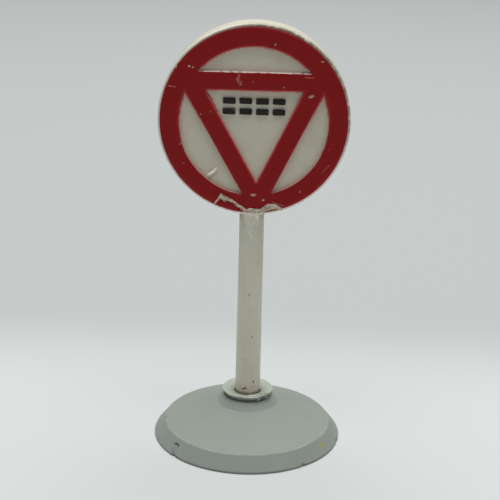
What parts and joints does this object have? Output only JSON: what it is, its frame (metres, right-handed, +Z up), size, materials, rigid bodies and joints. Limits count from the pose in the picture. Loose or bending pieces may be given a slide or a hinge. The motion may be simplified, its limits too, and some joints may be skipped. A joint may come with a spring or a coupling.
{
  "type": "miniature road sign on a foot",
  "caption": "Small moulded-plastic toy road sign: a round plate with a raised ring and inverted triangle, on a post that turns in a wide shallow foot.",
  "frame": {"origin": "on the table at the centre of the foot's underside", "axes": "+Z up along the post; the sign's face looks along -Y; +X is to the viewer's right"},
  "size_m": [0.025, 0.025, 0.0555],
  "materials": {
    "grey_plastic": "satin moulded, scuffed",
    "cream_plastic": "satin moulded, slightly yellowed",
    "white_plastic": "satin moulded",
    "red_paint": "brushed-on gloss paint, chipped",
    "black_paint": "dabbed-on paint, worn"
  },
  "bodies": {
    "base": {"foot": "grey_plastic"},
    "sign": {"post": "cream_plastic", "sign_plate": "white_plastic", "ring_border": "red_paint", "triangle_border": "red_paint", "legend_bars": "black_paint"}
  },
  "joints": [
    {"name": "post_swivel", "type": "hinge", "parent": "base", "child": "sign", "pos_m": [0, 0, 0.0012], "axis": [0, 0, 1], "continuous": true}
  ]
}
